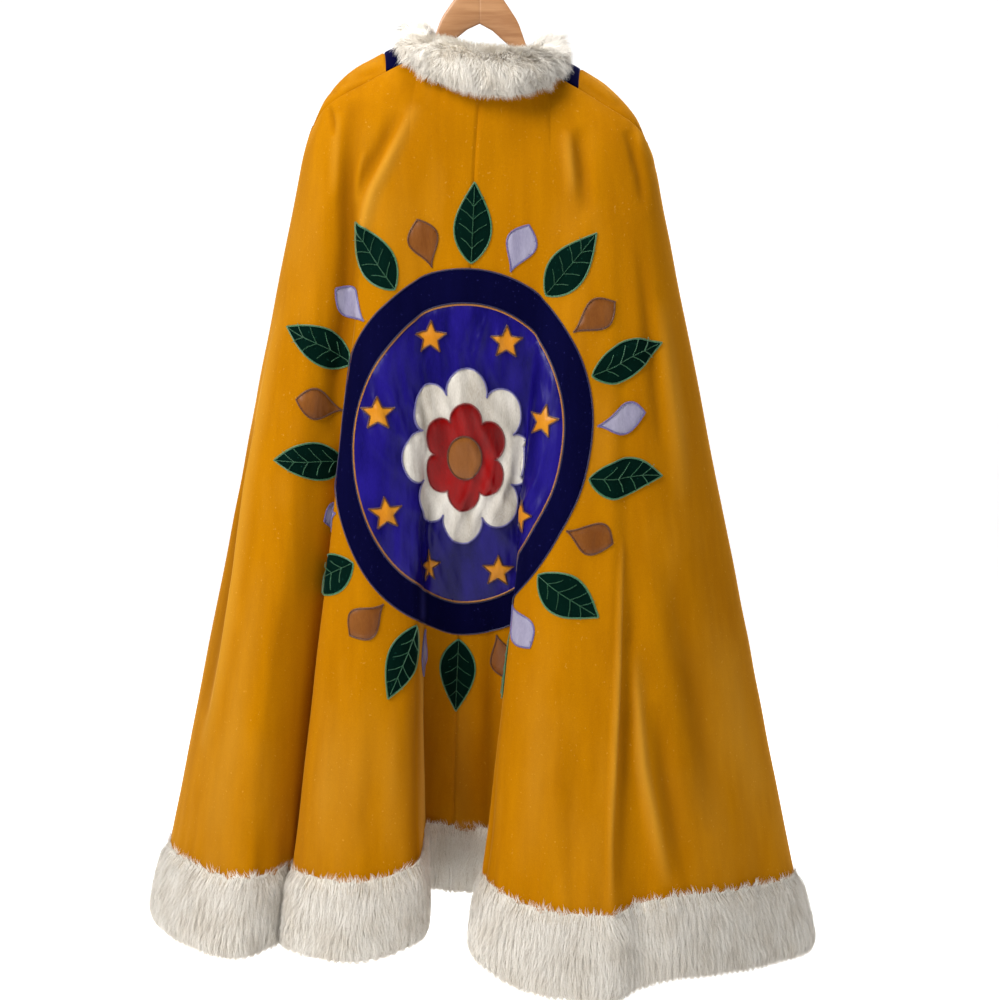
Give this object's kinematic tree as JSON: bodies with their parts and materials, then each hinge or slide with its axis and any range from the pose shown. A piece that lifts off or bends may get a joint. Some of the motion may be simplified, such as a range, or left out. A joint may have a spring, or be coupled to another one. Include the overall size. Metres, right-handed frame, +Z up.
{
  "type": "costume cape on a hanger",
  "caption": "Long velvet king costume cape with fur collar, fur hem and appliqued medallion, hanging open at the front on a wooden hanger.",
  "frame": {"origin": "saddle of the hanger's hook, the underside of its bow", "axes": "+Z up, +X to the right as the back of the cape is seen, the back of the cape faces -Y"},
  "size_m": [1.0035, 0.498, 1.4766],
  "materials": {
    "gold_velvet": "soft velvet pile",
    "navy_velvet": "soft velvet pile",
    "white_fur": "long soft pile",
    "wood": "clear satin varnish",
    "steel": "bright wire",
    "purple_satin": "satin",
    "white_satin": "satin",
    "red_satin": "satin",
    "gold_satin": "satin",
    "bronze_satin": "satin",
    "lilac_satin": "satin",
    "green_velvet": "soft velvet pile"
  },
  "bodies": {
    "root": {"back_left": "gold_velvet", "back_right": "gold_velvet", "front_left": "gold_velvet", "front_right": "gold_velvet", "front_band_left": "navy_velvet", "front_band_right": "navy_velvet", "medallion_ring": "navy_velvet", "medallion_field": "purple_satin", "rosette": "white_satin", "rosette_heart": "red_satin", "rosette_button": "bronze_satin", "star_1": "gold_satin", "star_2": "gold_satin", "star_3": "gold_satin", "star_4": "gold_satin", "star_5": "gold_satin", "star_6": "gold_satin", "star_7": "gold_satin", "star_8": "gold_satin", "leaf_1": "green_velvet", "leaf_2": "green_velvet", "leaf_3": "green_velvet", "leaf_4": "green_velvet", "leaf_5": "green_velvet", "leaf_6": "green_velvet", "leaf_7": "green_velvet", "leaf_8": "green_velvet", "leaf_9": "green_velvet", "leaf_10": "green_velvet", "leaf_11": "green_velvet", "leaf_12": "green_velvet", "bud_1": "lilac_satin", "bud_2": "bronze_satin", "bud_3": "lilac_satin", "bud_4": "bronze_satin", "bud_5": "lilac_satin", "bud_6": "bronze_satin", "bud_7": "lilac_satin", "bud_8": "bronze_satin", "bud_9": "lilac_satin", "bud_10": "bronze_satin", "bud_11": "lilac_satin", "bud_12": "bronze_satin", "hem_fur_front_left": "white_fur", "hem_fur_back_left": "white_fur", "hem_fur_back_right": "white_fur", "hem_fur_front_right": "white_fur", "collar": "white_fur", "hanger_body": "wood", "hanger_hook": "steel"}
  },
  "joints": []
}
